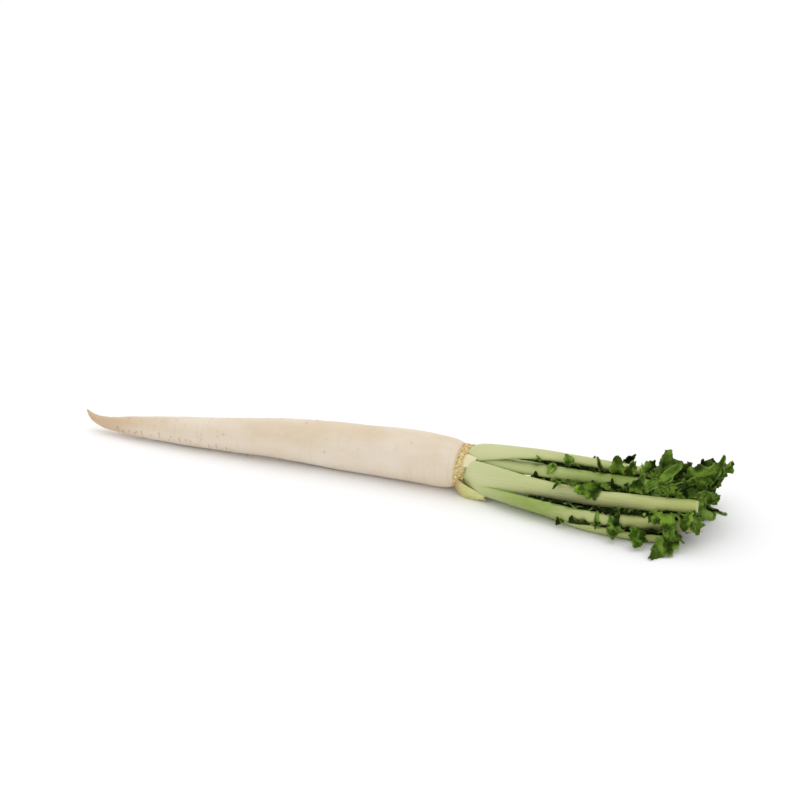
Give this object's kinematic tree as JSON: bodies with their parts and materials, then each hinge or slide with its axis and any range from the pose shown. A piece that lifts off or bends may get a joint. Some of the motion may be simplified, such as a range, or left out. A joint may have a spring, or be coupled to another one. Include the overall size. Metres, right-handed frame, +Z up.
{
  "type": "daikon radish",
  "caption": "Long ivory daikon radish with its trimmed green leaf stalks and leafy edges, lying on its side at rest on a small flat of its belly.",
  "frame": {"origin": "centre of the small flat on the root's belly that the radish rests on", "axes": "+X runs along the root from its tail towards the leaves, +Z is up"},
  "size_m": [0.6214, 0.1421, 0.0708],
  "materials": {
    "root": "ivory root skin, satin and slightly moist, with faint brown marks across it and a tan fibrous crown",
    "petiole": "pale yellow-green leaf stalk, ribbed lengthwise, satin, with fine white bristles",
    "blade": "dark green crumpled leaf with paler veins, semi-matte"
  },
  "bodies": {
    "root": {"root": "root", "petiole_1": "petiole", "petiole_2": "petiole", "petiole_3": "petiole", "petiole_4": "petiole", "petiole_5": "petiole", "petiole_6": "petiole", "petiole_7": "petiole", "petiole_8": "petiole", "petiole_9": "petiole", "blade_1": "blade", "blade_2": "blade", "blade_3": "blade", "blade_4": "blade", "blade_5": "blade", "blade_6": "blade", "blade_7": "blade", "blade_8": "blade", "blade_9": "blade"}
  },
  "joints": []
}
